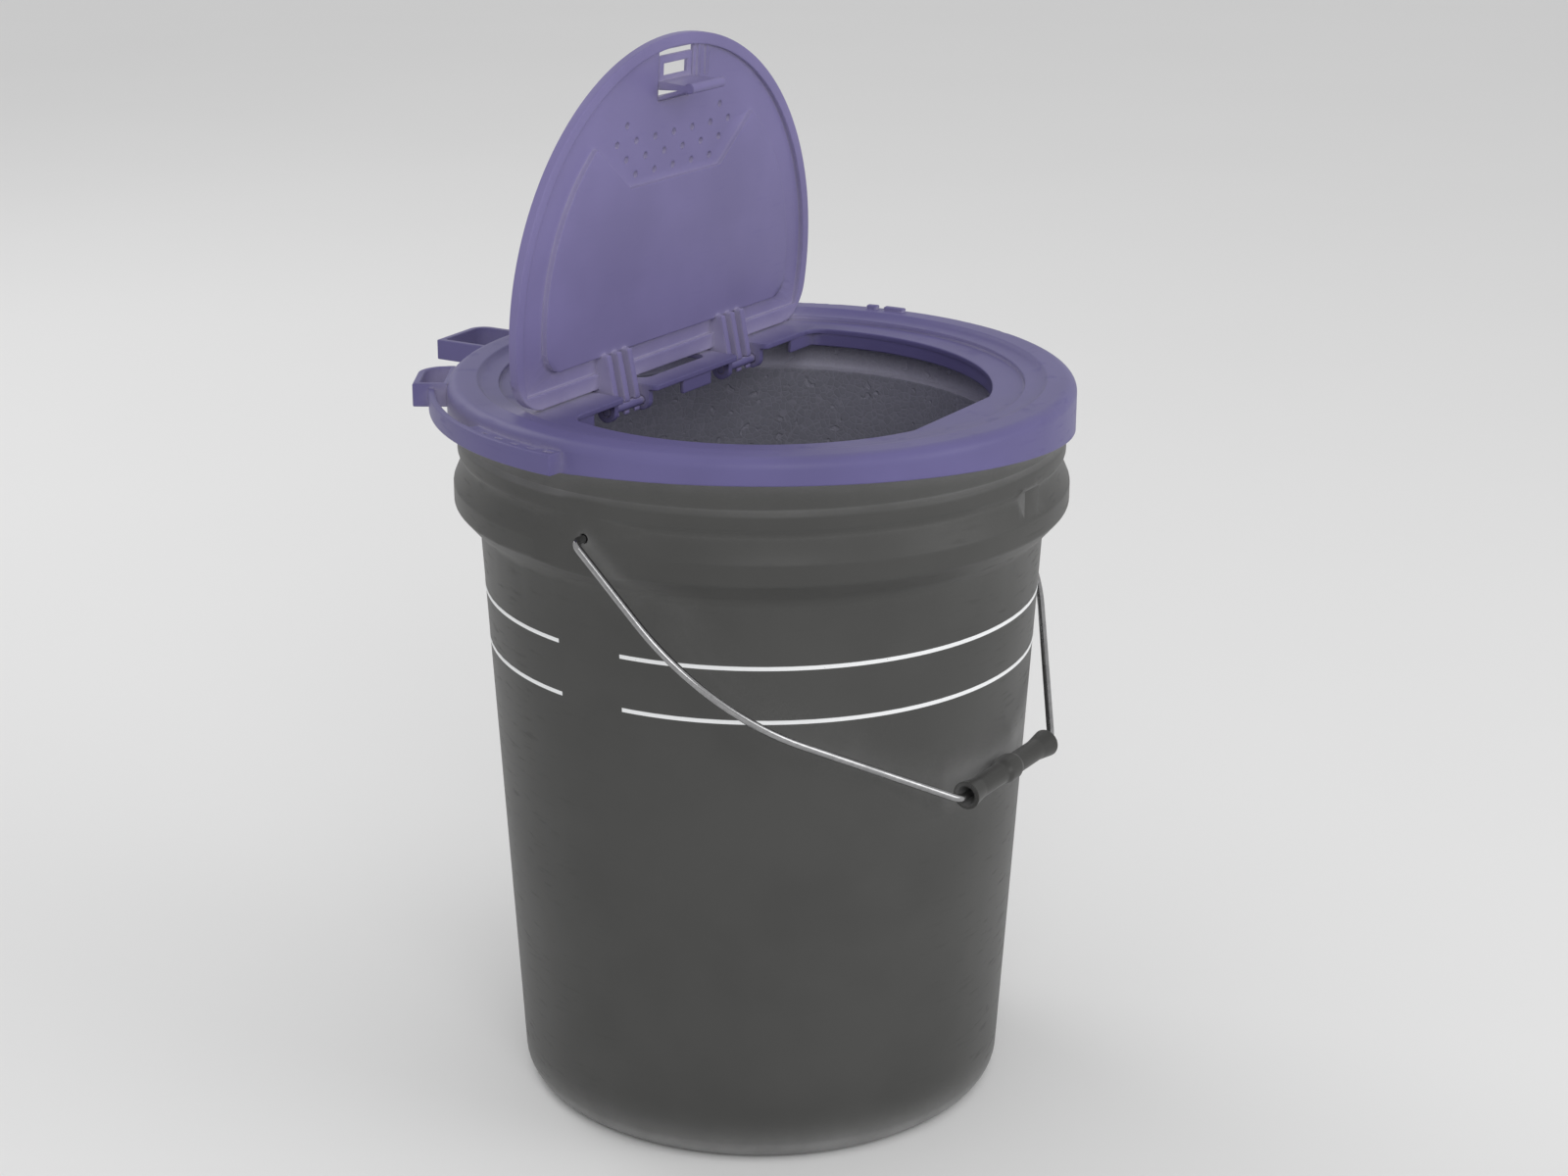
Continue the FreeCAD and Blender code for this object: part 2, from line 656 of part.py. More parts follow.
def make_lid():
    """Lid ring: turned section, two mouths with a bridge between them, hinge lugs, rail and loops."""
    body = new_body("lid")
    section = new_sketch(body, "lid_section", "XZ_Plane")
    bead = "(neck_radius + bead_gap)"
    crown_under = "(rim_height + rim_gap)"
    deck_under = "(deck_level - deck_thick)"
    draw_polygon(section, [
        ("0", "seat_level"),
        ("pocket_radius", "seat_level"),
        ("pocket_radius", "deck_level"),
        ("crown_radius", "deck_level"),
        ("crown_radius + crown_bevel", "lid_top"),
        ("lid_radius", "lid_top"),
        ("lid_radius", "skirt_bottom"),
        ("lid_skin", "skirt_bottom"),
        ("lid_skin", "bead_height - bead_size"),
        (bead, "bead_height"),
        (bead, "bead_height + bead_size / 2"),
        ("lid_skin", "bead_height + bead_size"),
        ("lid_skin", crown_under),
        ("crown_radius + crown_bevel + lid_wall", crown_under),
        ("crown_radius + crown_bevel + lid_wall", deck_under),
        ("pocket_radius + deck_thick", deck_under),
        ("pocket_radius + deck_thick", "seat_under"),
        ("0", "seat_under"),
    ])
    revolve(body, "lid_form", section)
    round_edges(body, "lid_shoulder", "shoulder_round", [ring_at("lid_radius", "lid_top")])
    rise = new_sketch(body, "skirt_rise_outline", "XZ_Plane", turn="skirt_rise_angle")
    draw_polygon(rise, [
        ("0", "skirt_bottom"),
        ("lid_radius * cut_reach", "skirt_bottom + skirt_rise * cut_reach"),
        ("lid_radius * cut_reach", "skirt_bottom - lid_wall"),
        ("0", "skirt_bottom - lid_wall"),
    ])
    extrude(body, "skirt_rise_cut", rise, "2 * lid_radius * cut_reach", cut=True, both=True)
    collar = new_sketch(body, "mouth_collar_outline", "XY_Plane", "seat_under")
    for wall in ("collar_step + collar_wall", "collar_step"):
        draw_cut_disc(collar, f"mouth_radius + {wall}", f"catch_edge - ({wall})", f"bridge_front + {wall}")
    extrude(body, "mouth_collar", collar, "collar_drop", reverse=True)
    mouth = new_sketch(body, "mouth_outline", "XY_Plane", "lid_top")
    draw_cut_disc(mouth, "mouth_radius", "catch_edge", "bridge_front")
    extrude(body, "mouth_cut", mouth, "lid_top - seat_under", cut=True)
    mouth_half = "sqrt(mouth_radius * mouth_radius - bridge_front * bridge_front)"
    round_edges(body, "mouth_corners", "mouth_round", [post_at(mouth_half, "bridge_front")])
    crescent = new_sketch(body, "crescent_outline", "XY_Plane", "lid_top")
    draw_cut_disc(crescent, "crescent_radius", low="bridge_back")
    extrude(body, "crescent_cut", crescent, "lid_top - seat_under", cut=True)
    bay = new_sketch(body, "bay_outline", "XY_Plane", "lid_top")
    draw_box(bay, "-bay_half", "bay_half", "bridge_back - bay_depth", "bridge_back + deck_thick")
    extrude(body, "bay_cut", bay, "lid_top - seat_under", cut=True)
    slot = new_sketch(body, "hinge_slot_outline", "XY_Plane", "lid_top")
    slot_sides = ("hinge_spread - slot_half", "hinge_spread + slot_half")
    slot_mouth = "bridge_front - deck_thick"
    draw_box(slot, *slot_sides, slot_mouth, "slot_back")
    slot_cut = extrude(body, "hinge_slot", slot, "lid_top - seat_under", cut=True)
    gap = new_sketch(body, "collar_gap_outline", "XY_Plane", "seat_under")
    draw_box(gap, "hinge_spread - collar_gap_half", "hinge_spread + collar_gap_half", slot_mouth,
             "bridge_front + collar_step + collar_wall + deck_thick")
    gap_cut = extrude(body, "collar_gap", gap, "collar_drop", cut=True)
    mirror(body, "hinge_openings", [slot_cut, gap_cut])
    round_edges(body, "slot_corners", "slot_round", [post_at(side, "bridge_front") for side in slot_sides])
    round_edges(body, "bay_corners", "bay_round", [post_at("bay_half", "bridge_back - bay_depth")])
    lugs = []
    for name, start in (("inner", "hinge_spread - slot_half - lug_thick"),
                        ("outer", "hinge_spread + slot_half")):
        lug = new_sketch(body, f"{name}_lug_outline", "YZ_Plane", start)
        draw_tab(lug, "hinge_depth", "hinge_height", "seat_level - deck_thick / 2", "lug_radius")
        draw_circle(lug, "hinge_depth", "hinge_height", "pin_diameter / 2 + pin_gap")
        lugs.append(extrude(body, f"{name}_lug", lug, "lug_thick"))
    mirror(body, "hinge_lugs", lugs)
    add_band(body, "rail", "rail_start", "rail_end", "rail_inner", "rail_outer", "rail_bottom", "rail_top")
    add_band(body, "rail_shelf", "shelf_start", "rail_end", "lid_skin", "rail_outer - lid_wall / 2",
             "rail_top - shelf_thick", "rail_top - shelf_step")
    add_band(body, "rail_end_cap", "rail_end - rail_cap", "rail_end", "lid_skin", "rail_outer - lid_wall / 2",
             "rail_bottom", "rail_top")
    dimple = new_sketch(body, "dimple_outline", "XY_Plane", "rail_top", "dimple_first")
    draw_box(dimple, "dimple_radius - dimple_breadth / 2", "dimple_radius + dimple_breadth / 2",
             "-dimple_length / 2", "dimple_length / 2")
    dimple_cut = extrude(body, "dimple_cut", dimple, "dimple_depth + shelf_step", cut=True)
    polar(body, "dimples", [dimple_cut], DIMPLES, f"dimple_step * {DIMPLES - 1}")
    for name in ("side_loop", "rear_loop"):
        add_loop(body, name)
    for name in ("short_nib", "long_nib"):
        add_band(body, name, f"{name}_start", f"{name}_end", "nib_inner", "nib_outer",
                 "lid_top - lid_wall / 2", "lid_top + nib_height")
    return body


def swing_open(body):
    """Turns a piece that is drawn on the shut flap about the hinge, to where the flap stands open."""
    body.Placement = FreeCAD.Placement(FreeCAD.Vector(), FreeCAD.Rotation(FreeCAD.Vector(-1, 0, 0), 1))
    body.setExpression("Placement.Rotation.Angle", bound("open_angle"))
    shut_y = "hinge_depth * cos(open_angle) + hinge_height * sin(open_angle)"
    shut_z = "hinge_height * cos(open_angle) - hinge_depth * sin(open_angle)"
    body.setExpression("Placement.Base.y", bound(f"hinge_depth - ({shut_y})"))
    body.setExpression("Placement.Base.z", bound(f"hinge_height - ({shut_z})"))


def make_flap():
    """Flap: lipped disc with a raised panel, vent holes, a latch window and two sets of hinge fins."""
    body = new_body("flap")
    disc = new_sketch(body, "flap_outline", "XY_Plane", "flap_under")
    draw_cut_disc(disc, "flap_radius", high="flap_heel")
    extrude(body, "flap_disc", disc, "flap_thick")
    panel = new_sketch(body, "panel_outline", "XY_Plane", "flap_under")
    draw_cut_disc(panel, "panel_radius", high="panel_heel")
    extrude(body, "panel", panel, "panel_depth", reverse=True)
    panel_half = "sqrt(panel_radius * panel_radius - panel_heel * panel_heel)"
    round_edges(body, "panel_corners", "panel_round", [post_at(panel_half, "panel_heel")])
    field = new_sketch(body, "vent_field_outline", "XY_Plane", "flap_under")
    draw_polygon(field, [
        ("-vent_field_half", "vent_field_edge"),
        ("vent_field_half", "vent_field_edge"),
        ("horn_half", "horn_edge"),
        ("horn_half", "-flap_radius"),
        ("-horn_half", "-flap_radius"),
        ("-horn_half", "horn_edge"),
    ])
    extrude(body, "vent_field", field, "panel_depth", cut=True)
    lip = new_sketch(body, "flap_lip_outline", "XY_Plane", "flap_under")
    draw_cut_disc(lip, "flap_radius", high="flap_heel")
    draw_cut_disc(lip, "flap_radius - flap_lip", high="flap_heel - heel_lip")
    extrude(body, "flap_lip", lip, "flap_lip_depth", reverse=True)
    heel_half = "sqrt(flap_radius * flap_radius - flap_heel * flap_heel)"
    round_edges(body, "heel_corners", "flap_heel_round", [post_at(heel_half, "flap_heel")])
    window = new_sketch(body, "window_outline", "XY_Plane", "flap_top")
    draw_box(window, "-window_half", "window_half", "window_far", "window_near")
    extrude(body, "window", window, "flap_thick", cut=True)
    vents = new_sketch(body, "vent_outline", "XY_Plane", "flap_top")
    for row, count in enumerate(VENT_ROWS):
        for hole in range(count):
            place = f"vent_pitch * {hole - (count - 1) / 2}"
            along = f"vent_row_edge - vent_row_pitch * {row}"
            draw_circle(vents, "0" if hole == (count - 1) / 2 else place, along, "vent_diameter / 2")
    for side in ("", "-"):
        along = f"vent_row_edge - vent_row_pitch * {len(VENT_ROWS)}"
        draw_circle(vents, f"{side}vent_pitch * {VENT_END_PLACE}", along, "vent_diameter / 2")
    extrude(body, "vents", vents, "flap_thick", cut=True)
    for name, start in (("near", "window_half + cheek_offset"),
                        ("far", "window_half + cheek_offset + cheek_pitch")):
        cheek = new_sketch(body, f"{name}_cheek_outline", "XY_Plane", "flap_under")
        draw_box(cheek, start, f"{start} + cheek_thick", "window_far", "cheek_near")
        extrude(body, f"{name}_cheek", cheek, "cheek_depth", reverse=True)
    for side in ("-", ""):
        for place in ("-1", "0", "1"):
            middle = f"{side}(hinge_spread + fin_pitch * {place})"
            fin = new_sketch(body, "fin_outline", "YZ_Plane", f"{middle} - fin_thick / 2")
            draw_polygon(fin, [
                ("fin_root", "flap_top - flap_gap"),
                ("fin_root", "panel_face - fin_rise"),
                ("hinge_depth - fin_hub", "hinge_height - fin_wrap"),
                ("hinge_depth + fin_hub", "hinge_height - fin_wrap"),
                ("flap_heel", "flap_top - flap_gap"),
            ])
            extrude(body, "fin", fin, "fin_thick")
    bore = new_sketch(body, "pin_bore_outline", "YZ_Plane")
    draw_circle(bore, "hinge_depth", "hinge_height", "pin_diameter / 2 + pin_gap")
    extrude(body, "pin_bore", bore, "flap_radius * 2", cut=True, both=True)
    swing_open(body)
    return body


def make_latch():
    """Latch: three leaf arms from the window and its thumb strip to the bar under the catch edge."""
    body = new_body("latch")
    bar_y = "(catch_edge + latch_bar_gap + latch_bar_radius)"
    root = "(window_near - latch_gap)"
    bar = new_sketch(body, "bar_outline", "YZ_Plane")
    draw_circle(bar, bar_y, "latch_bar_height", "latch_bar_radius")
    extrude(body, "bar", bar, "latch_half * 2", both=True)
    leaf_roots = {
        "near_leaf": root,
        "middle_leaf": f"({root} - (({root}) - {bar_y}) / 2 - latch_leaf / 2)",
        "far_leaf": f"({bar_y} + latch_leaf / 2)",
    }
    for name, start in leaf_roots.items():
        leaf = new_sketch(body, f"{name}_outline", "YZ_Plane")
        draw_polygon(leaf, [
            (start, "flap_top"),
            (f"{start} - latch_leaf", "flap_top"),
            (f"{start} - latch_leaf", "flap_under"),
            (f"{bar_y} - latch_leaf / 2", "latch_bar_height"),
            (f"{bar_y} + latch_leaf / 2", "latch_bar_height"),
            (start, "flap_under"),
        ])
        extrude(body, name, leaf, "latch_half * 2", both=True)
    strip = new_sketch(body, "strip_outline", "YZ_Plane")
    draw_box(strip, "latch_strip_end", leaf_roots["middle_leaf"], "flap_under + latch_gap", "flap_top")
    extrude(body, "thumb_strip", strip, "latch_half * 2", both=True)
    opening = new_sketch(body, "strip_opening_outline", "XY_Plane", "flap_top")
    draw_box(opening, "latch_strip_band - latch_half", "latch_half - latch_strip_band",
             "latch_strip_end + latch_strip_band", f"{leaf_roots['far_leaf']} - 2 * latch_leaf")
    extrude(body, "strip_opening", opening, "flap_thick", cut=True)
    swing_open(body)
    return body


def make_pin(label, side):
    """Hinge pin: a plain rod through one set of fins and the two lugs beside it."""
    pin = doc.addObject("Part::Cylinder", label)
    pin.Label = label
    pin.Placement = FreeCAD.Placement(FreeCAD.Vector(), FreeCAD.Rotation(FreeCAD.Vector(0, 1, 0), 90))
    pin.setExpression("Radius", bound("pin_diameter / 2"))
    pin.setExpression("Height", bound("2 * (slot_half + lug_thick)"))
    pin.setExpression("Placement.Base.x", bound(f"{side}hinge_spread - slot_half - lug_thick"))
    pin.setExpression("Placement.Base.y", bound("hinge_depth"))
    pin.setExpression("Placement.Base.z", bound("hinge_height"))
    return pin


def make_bail():
    """Bail: round wire bent in one plane, hooked into both ears, leaning forward as it hangs."""
    body = new_body("bail")
    path = new_sketch(body, "bail_path", "XZ_Plane")
    draw_bent_path(path, [
        ("-(bail_half - bail_hook)", "0"),
        ("-bail_half", "0"),
        ("-bail_half", "-bail_leg"),
        ("-bail_flat", "-bail_drop"),
        ("bail_flat", "-bail_drop"),
        ("bail_half", "-bail_leg"),
        ("bail_half", "0"),
        ("bail_half - bail_hook", "0"),
    ], ["bail_elbow", "bail_bend", "bail_wrist", "bail_wrist", "bail_bend", "bail_elbow"])
    wire = new_sketch(body, "wire_section", "YZ_Plane", "-(bail_half - bail_hook)")
    draw_circle(wire, "0", "0", "wire_diameter / 2")
    rod = body.newObject("PartDesign::AdditivePipe", "wire")
    rod.Profile = wire
    rod.Spine = path
    body.Placement = FreeCAD.Placement(FreeCAD.Vector(), FreeCAD.Rotation(FreeCAD.Vector(-1, 0, 0), 1))
    body.setExpression("Placement.Rotation.Angle", bound("bail_lean"))
    body.setExpression("Placement.Base.z", bound("ear_height"))
    return body


def make_grip():
    """Grip: turned tube with flared open ends, two waists and a middle collar."""
    body = new_body("grip")
    section = new_sketch(body, "grip_section", "XZ_Plane")
    bore = "wire_diameter / 2 + grip_bore_gap"
    half = "grip_length / 2"
    outside = [
        (f"{half} - grip_mouth_depth", bore),
        (f"{half} - grip_mouth_depth", "grip_mouth_radius"),
        (half, "grip_mouth_radius"),
        (half, "grip_end_radius"),
        (f"{half} - grip_flare_length", "grip_waist_radius"),
        ("grip_collar_length", "grip_waist_radius"),
        ("grip_collar_length / 2", "grip_collar_radius"),
    ]
    mirrored = [(f"-({across})", along) for across, along in reversed(outside)]
    draw_polygon(section, outside + mirrored)
    revolve(body, "grip_form", section, axis="H_Axis")
    body.setExpression("Placement.Base.y", bound("-bail_drop * sin(bail_lean)"))
    body.setExpression("Placement.Base.z", bound("ear_height - bail_drop * cos(bail_lean)"))
    return body


sub_parts = [
    make_bucket(),
    make_liner(),
    make_lid(),
    make_flap(),
    make_latch(),
    make_pin("hinge_pin_left", "-"),
    make_pin("hinge_pin_right", ""),
    make_bail(),
    make_grip(),
]
doc.recompute()

for item in doc.Objects:
    if "Invalid" in item.State or "Error" in item.State:
        raise RuntimeError(f"{item.Label} did not build: {item.State}")
for item in sub_parts:
    if item.Shape.isNull() or not item.Shape.isValid() or len(item.Shape.Solids) != 1:
        raise RuntimeError(f"{item.Label} is not one valid solid")

os.makedirs("parts", exist_ok=True)
for item in sub_parts:
    item.Shape.exportStep(f"parts/{item.Label}.step")
    print(f"{item.Label}: {item.Shape.Volume / 1000:.1f} cm3")
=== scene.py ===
"""Dresses the insulated bait bucket.

It has a moulded pail, a foam liner, a lid ring, a vented flap with a latch, and a wire bail with a grip.
Metres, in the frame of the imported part: the origin is the middle of the pail's foot and +Z is up.
"""
import logging
import math
from dataclasses import dataclass, field
from enum import Enum

import bmesh
import bpy
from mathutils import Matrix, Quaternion, Vector


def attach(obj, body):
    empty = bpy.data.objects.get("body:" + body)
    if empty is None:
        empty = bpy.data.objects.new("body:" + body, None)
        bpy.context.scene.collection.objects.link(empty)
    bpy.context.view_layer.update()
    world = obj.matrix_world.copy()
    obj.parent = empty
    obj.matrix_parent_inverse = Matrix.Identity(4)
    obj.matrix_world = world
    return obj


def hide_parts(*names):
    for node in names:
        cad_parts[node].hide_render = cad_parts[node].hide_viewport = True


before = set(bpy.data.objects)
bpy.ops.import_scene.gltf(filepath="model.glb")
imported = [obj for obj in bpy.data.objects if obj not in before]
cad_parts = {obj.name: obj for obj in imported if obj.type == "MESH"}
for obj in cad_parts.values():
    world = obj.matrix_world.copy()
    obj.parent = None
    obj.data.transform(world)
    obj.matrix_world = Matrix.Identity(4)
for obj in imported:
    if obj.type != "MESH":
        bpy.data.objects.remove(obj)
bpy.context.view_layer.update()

LOG = logging.getLogger("bait_bucket")
WELD_GAP = 1e-6
FLAT_TURN = 0.3
MIDDLE = (0.3, 0.7)
EDGE_TURN = (0.7, 0.995)
Colour = tuple[float, float, float]
Socket = bpy.types.NodeSocket
Piece = bpy.types.Object


class Wear(Enum):
    """How far the edges of a finish are rubbed, as the share of the rubbed colour that shows."""

    FRESH = 0.12
    HANDLED = 0.3
    RUBBED = 0.5


class Graph:
    """A material's node graph, with short calls for the nodes that the finishes share."""

    def __init__(self, name: str) -> None:
        """Starts an empty graph.

        Args:
            name: the material's name.
        """
        self.material = bpy.data.materials.new(name)
        self.material.use_nodes = True
        self.tree = self.material.node_tree
        self.shader = self.tree.nodes["Principled BSDF"]
        self.place = self.node("ShaderNodeTexCoord").outputs["Object"]

    def node(self, kind: str, **settings: object) -> bpy.types.Node:
        """Adds a node.

        Args:
            kind: the node's type.
            settings: the node's own properties.

        Returns:
            The new node.
        """
        made = self.tree.nodes.new(kind)
        for name, value in settings.items():
            setattr(made, name, value)
        return made

    def feed(self, target: Socket, value: Socket | float | Colour) -> None:
        """Links a socket to a target, or sets the target's own value.

        Args:
            target: the input to feed.
            value: an output, a number or a colour.
        """
        if isinstance(value, Socket):
            self.tree.links.new(value, target)
        elif isinstance(value, tuple) and len(target.default_value) > len(value):
            target.default_value = (*value, 1.0)
        else:
            target.default_value = value

    def maths(self, work: str, first: Socket | float, second: Socket | float = 0.0) -> Socket:
        """Adds a maths node that keeps its result between 0 and 1.

        Args:
            work: the operation.
            first: the first number.
            second: the second number.

        Returns:
            The result.
        """
        made = self.node("ShaderNodeMath", operation=work, use_clamp=True)
        self.feed(made.inputs[0], first)
        self.feed(made.inputs[1], second)
        return made.outputs[0]

    def stretch(self, scale: Colour) -> Socket:
        """Gives the object's coordinates, stretched.

        Args:
            scale: the factors along X, Y and Z.

        Returns:
            The stretched coordinates.
        """
        made = self.node("ShaderNodeMapping")
        self.feed(made.inputs["Vector"], self.place)
        made.inputs["Scale"].default_value = scale
        return made.outputs["Vector"]

    def noise(self, scale: float, detail: float = 2.0, place: Socket | None = None) -> Socket:
        """Adds soft noise.

        Args:
            scale: lumps per metre.
            detail: the octaves of finer noise.
            place: other coordinates than the object's.

        Returns:
            The noise, from 0 to 1.
        """
        made = self.node("ShaderNodeTexNoise")
        self.feed(made.inputs["Vector"], place or self.place)
        made.inputs["Scale"].default_value = scale
        made.inputs["Detail"].default_value = detail
        return made.outputs[0]

    def span(self, value: Socket, low: float, high: float, start: float = 0.0, end: float = 1.0) -> Socket:
        """Maps one span of numbers smoothly to another.

        Args:
            value: the number to map.
            low: where the span starts.
            high: where the span ends.
            start: the result at low.
            end: the result at high.

        Returns:
            The mapped number.
        """
        made = self.node("ShaderNodeMapRange", interpolation_type="SMOOTHSTEP")
        for name, number in zip(("From Min", "From Max", "To Min", "To Max"), (low, high, start, end)):
            made.inputs[name].default_value = number
        self.feed(made.inputs["Value"], value)
        return made.outputs[0]

    def tint(self, share: Socket | float, first: Socket | Colour, second: Socket | Colour) -> Socket:
        """Mixes two colours.

        Args:
            share: how much of the second shows.
            first: the colour at 0.
            second: the colour at 1.

        Returns:
            The mixed colour.
        """
        made = self.node("ShaderNodeMix", data_type="RGBA")
        self.feed(made.inputs[0], share)
        self.feed(made.inputs[6], first)
        self.feed(made.inputs[7], second)
        return made.outputs[2]

    def rounding(self, width: float) -> Socket:
        """Turns the normal near the edges of the mesh, as if they were rounded.

        Args:
            width: the radius of the rounding.

        Returns:
            The rounded normal.
        """
        made = self.node("ShaderNodeBevel", samples=6)
        made.inputs["Radius"].default_value = width
        return made.outputs[0]

    def edges(self, rounded: Socket) -> Socket:
        """Finds the edges of the mesh.

        Args:
            rounded: the rounded normal.

        Returns:
            0 on open faces and up to 1 on edges.
        """
        plain = self.node("ShaderNodeNewGeometry")
        turn = self.node("ShaderNodeVectorMath", operation="DOT_PRODUCT")
        self.feed(turn.inputs[0], rounded)
        self.feed(turn.inputs[1], plain.outputs["Normal"])
        return self.span(turn.outputs["Value"], *EDGE_TURN, 1.0, 0.0)

    def hollows(self, reach: float) -> Socket:
        """Finds corners and hollows.

        Args:
            reach: how near other faces have to be.

        Returns:
            0 on open faces and up to 1 deep in a hollow.
        """
        made = self.node("ShaderNodeAmbientOcclusion", samples=6)
        made.inputs["Distance"].default_value = reach
        return self.maths("SUBTRACT", 1.0, made.outputs["AO"])

    def bump(self, height: Socket, depth: float, under: Socket | None = None) -> Socket:
        """Adds a bump.

        Args:
            height: the relief, from 0 to 1.
            depth: the height of the relief.
            under: a bump that this one lies on.

        Returns:
            The bumped normal.
        """
        made = self.node("ShaderNodeBump")
        made.inputs["Strength"].default_value = 1.0
        made.inputs["Distance"].default_value = depth
        self.feed(made.inputs["Height"], height)
        if under is not None:
            self.feed(made.inputs["Normal"], under)
        return made.outputs["Normal"]


def shade(colour: Colour, factor: float) -> Colour:
    """Makes a colour lighter or darker.

    Args:
        colour: the colour.
        factor: more than 1 is lighter.

    Returns:
        The new colour.
    """
    return tuple(min(1.0, part * factor) for part in colour)


@dataclass(frozen=True)
class MouldedPlastic:
    """Satin moulded plastic with a fine grain, cloudy tone, rubbed edges and pale painted shade in its
    hollows.
    """

    name: str
    colour: Colour
    # The pale colour painted into hollows as shade, and how far, from where and how strongly that painted
    # shade shows.
    hollow_shade: Colour
    wear: Wear = Wear.FRESH
    hollow_shade_share: float = 0.55
    hollow_shade_reach: float = 0.03
    hollow_shade_start: float = 0.15
    hollow_shade_full: float = 0.75
    patch_scale: float = 70.0
    patch_least: float = 0.75
    roughness: float = 0.42
    gloss: float = 0.22
    cloud_scale: float = 14.0
    cloud_share: float = 0.07
    scuff_scale: float = 60.0
    scuff_stretch: Colour = (1.0, 1.0, 7.0)
    scuff_start: float = 0.56
    scuff_full: float = 0.74
    scuff_dull: float = 0.14
    grain_scale: float = 2200.0
    grain_depth: float = 0.00003
    sink_scale: float = 26.0
    sink_depth: float = 0.0004
    edge_width: float = 0.0012
    edge_lift: float = 1.5
    coat: float = 0.02
    coat_roughness: float = 0.25

    def material(self) -> bpy.types.Material:
        """Builds the material.

        Returns:
            The new material.
        """
        graph = Graph(self.name)
        inputs = graph.shader.inputs
        cloud = graph.span(graph.noise(self.cloud_scale, 3.0), *MIDDLE)
        dark, pale = shade(self.colour, 1 - self.cloud_share), shade(self.colour, 1 + self.cloud_share)
        tone = graph.tint(cloud, dark, pale)
        rounded = graph.rounding(self.edge_width)
        rubbed = graph.maths("MULTIPLY", graph.edges(rounded), self.wear.value)
        tone = graph.tint(rubbed, tone, shade(self.colour, self.edge_lift))
        # Painted shade: a pale colour laid into hollows, corners and under parts, where shade falls, made
        # patchy by noise.
        hollow = graph.span(graph.hollows(self.hollow_shade_reach), self.hollow_shade_start, self.hollow_shade_full)
        patchy = graph.span(graph.noise(self.patch_scale, 4.0), 0.2, 0.8, self.patch_least, 1.0)
        hollow_shade = graph.maths("MULTIPLY", hollow, patchy)
        tone = graph.tint(graph.maths("MULTIPLY", hollow_shade, self.hollow_shade_share), tone, self.hollow_shade)
        graph.feed(inputs["Base Color"], tone)
        scuffed = graph.noise(self.scuff_scale, 6.0, graph.stretch(self.scuff_stretch))
        scuffs = graph.span(scuffed, self.scuff_start, self.scuff_full)
        dull = graph.maths("MULTIPLY", scuffs, self.scuff_dull)
        graph.feed(inputs["Roughness"], graph.maths("ADD", dull, self.roughness))
        grain = graph.bump(graph.noise(self.grain_scale, 2.0), self.grain_depth, rounded)
        sinks = graph.bump(graph.noise(self.sink_scale, 1.0), self.sink_depth, grain)
        graph.feed(inputs["Normal"], sinks)
        inputs["Specular IOR Level"].default_value = self.gloss
        inputs["Coat Weight"].default_value = self.coat
        inputs["Coat Roughness"].default_value = self.coat_roughness
        return graph.material


@dataclass(frozen=True)
class BeadFoam:
    """Rigid foam moulded from beads, with a seam round each bead, a few open pits and pale painted shade
    in its hollows.
    """

    name: str
    colour: Colour
    pale: Colour
    bead_scale: float = 300.0
    bead_spread: float = 0.05
    bead_depth: float = 0.0001
    bead_shoulder: float = 0.16
    seam_width: float = 0.09
    seam_share: float = 0.1
    pit_scale: float = 170.0
    pit_start: float = 0.66
    pit_full: float = 0.72
    pit_depth: float = 0.0004
    pit_share: float = 0.12
    cloud_scale: float = 11.0
    cloud_start: float = 0.35
    cloud_full: float = 0.7
    cloud_share: float = 0.3
    cloud_lift: float = 1.22
    # The pale painted shade in the foam's hollows: how far it reaches, where it starts and ends, and its
    # share.
    pale_shade_reach: float = 0.06
    pale_shade_start: float = 0.15
    pale_shade_full: float = 0.8
    pale_shade_share: float = 0.6
    roughness: float = 0.8
    gloss: float = 0.2

    def material(self) -> bpy.types.Material:
        """Builds the material.

        Returns:
            The new material.
        """
        graph = Graph(self.name)
        inputs = graph.shader.inputs
        beads = graph.node("ShaderNodeTexVoronoi", feature="F1")
        seams = graph.node("ShaderNodeTexVoronoi", feature="DISTANCE_TO_EDGE")
        for cells in (beads, seams):
            graph.feed(cells.inputs["Vector"], graph.place)
            cells.inputs["Scale"].default_value = self.bead_scale
        bead_tone = graph.node("ShaderNodeSeparateColor")
        graph.feed(bead_tone.inputs[0], beads.outputs["Color"])
        dark, light = shade(self.colour, 1 - self.bead_spread), shade(self.colour, 1 + self.bead_spread)
        tone = graph.tint(bead_tone.outputs[0], dark, light)
        seam = graph.span(seams.outputs["Distance"], 0.0, self.seam_width, 1.0, 0.0)
        tone = graph.tint(graph.maths("MULTIPLY", seam, self.seam_share), tone, self.pale)
        pits = graph.span(graph.noise(self.pit_scale, 1.0), self.pit_start, self.pit_full)
        tone = graph.tint(graph.maths("MULTIPLY", pits, self.pit_share), tone, self.pale)
        cloud = graph.span(graph.noise(self.cloud_scale, 3.0), self.cloud_start, self.cloud_full)
        clouded = shade(self.colour, self.cloud_lift)
        tone = graph.tint(graph.maths("MULTIPLY", cloud, self.cloud_share), tone, clouded)
        # Painted shade: the pale colour laid into the foam's hollows and corners, where shade falls.
        hollow = graph.span(graph.hollows(self.pale_shade_reach), self.pale_shade_start, self.pale_shade_full)
        tone = graph.tint(graph.maths("MULTIPLY", hollow, self.pale_shade_share), tone, self.pale)
        graph.feed(inputs["Base Color"], tone)
        inputs["Roughness"].default_value = self.roughness
        inputs["Specular IOR Level"].default_value = self.gloss
        raised = graph.span(seams.outputs["Distance"], 0.0, self.bead_shoulder)
        relief = graph.bump(raised, self.bead_depth)
        pitted = graph.bump(graph.maths("SUBTRACT", 1.0, pits), self.pit_depth, relief)
        graph.feed(inputs["Normal"], pitted)
        return graph.material


